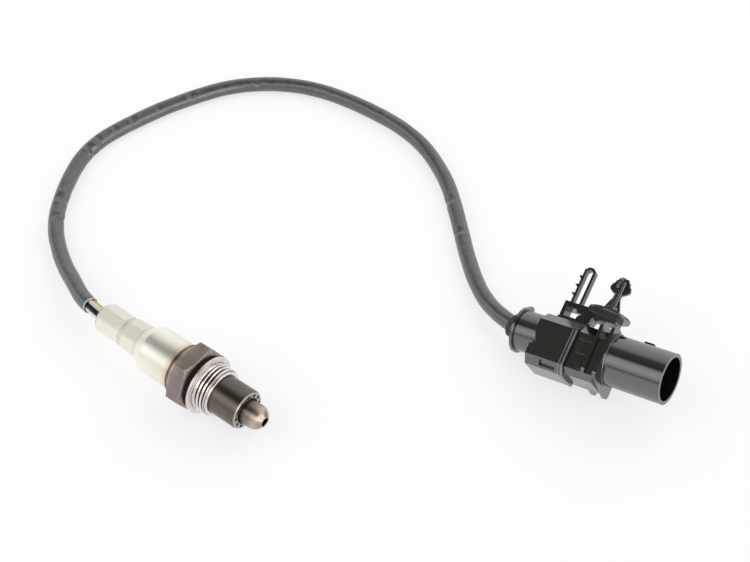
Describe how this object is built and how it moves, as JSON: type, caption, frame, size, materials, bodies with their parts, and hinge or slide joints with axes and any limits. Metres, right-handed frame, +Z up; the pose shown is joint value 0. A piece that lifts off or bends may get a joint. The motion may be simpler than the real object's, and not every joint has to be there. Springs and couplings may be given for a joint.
{
  "type": "oxygen sensor",
  "caption": "Screw-in wide-band oxygen sensor with a pierced protection tube, a sheathed lead and a round plug that carries a harness clip.",
  "frame": {"origin": "centre of the sealing seat, where the gasket's front face crosses the sensor's axis", "axes": "+X along the sensor's axis from the seat to the tip, +Z up from the surface that it lies on"},
  "size_m": [0.2587, 0.1713, 0.0286],
  "materials": {
    "plated_steel": "dull plated steel, straw and brown heat tint at the weld",
    "gasket_steel": "bright stainless ring",
    "guard_steel": "dark heat-coloured steel with a bronze tip",
    "inner_guard_steel": "plain stainless steel",
    "element_ceramic": "white fired ceramic strip",
    "ceramic": "fired ceramic",
    "packing_powder": "pressed powder",
    "holder_ceramic": "fired ceramic",
    "spring_alloy": "nickel-plated strip",
    "sleeve_steel": "pale drawn stainless steel",
    "grommet_rubber": "black rubber",
    "lead_sheath": "dark slate-grey sheath, creased",
    "wire_grey": "grey wire",
    "wire_black": "black wire",
    "wire_white": "white wire",
    "wire_red": "red wire",
    "wire_yellow": "orange-yellow wire",
    "housing_plastic": "satin black moulding",
    "cover_plastic": "satin black moulding",
    "gland_rubber": "black rubber",
    "seal_rubber": "red-brown rubber",
    "carrier_plastic": "black moulding",
    "pin_metal": "tin-plated brass",
    "lock_plastic": "dark grey moulding",
    "resistor_body": "glazed chip",
    "clip_plastic": "black nylon moulding"
  },
  "bodies": {
    "root": {"hex_housing": "plated_steel", "seat_gasket": "gasket_steel", "outer_guard_tube": "guard_steel", "inner_guard_tube": "inner_guard_steel", "sensing_element": "element_ceramic", "lower_insulator": "ceramic", "seal_packing": "packing_powder", "upper_insulator": "ceramic", "contact_holder": "holder_ceramic", "contact_springs": "spring_alloy", "body_sleeve": "sleeve_steel", "cable_grommet": "grommet_rubber", "cable_sleeve": "lead_sheath", "wire_grey": "wire_grey", "wire_black": "wire_black", "wire_white": "wire_white", "wire_red": "wire_red", "wire_yellow": "wire_yellow", "connector_housing": "housing_plastic", "rear_cover": "cover_plastic", "cable_gland": "gland_rubber", "wire_seal": "seal_rubber", "pin_carrier": "carrier_plastic", "contact_pins": "pin_metal", "secondary_lock": "lock_plastic", "trim_resistor": "resistor_body", "harness_clip": "clip_plastic"}
  },
  "joints": []
}
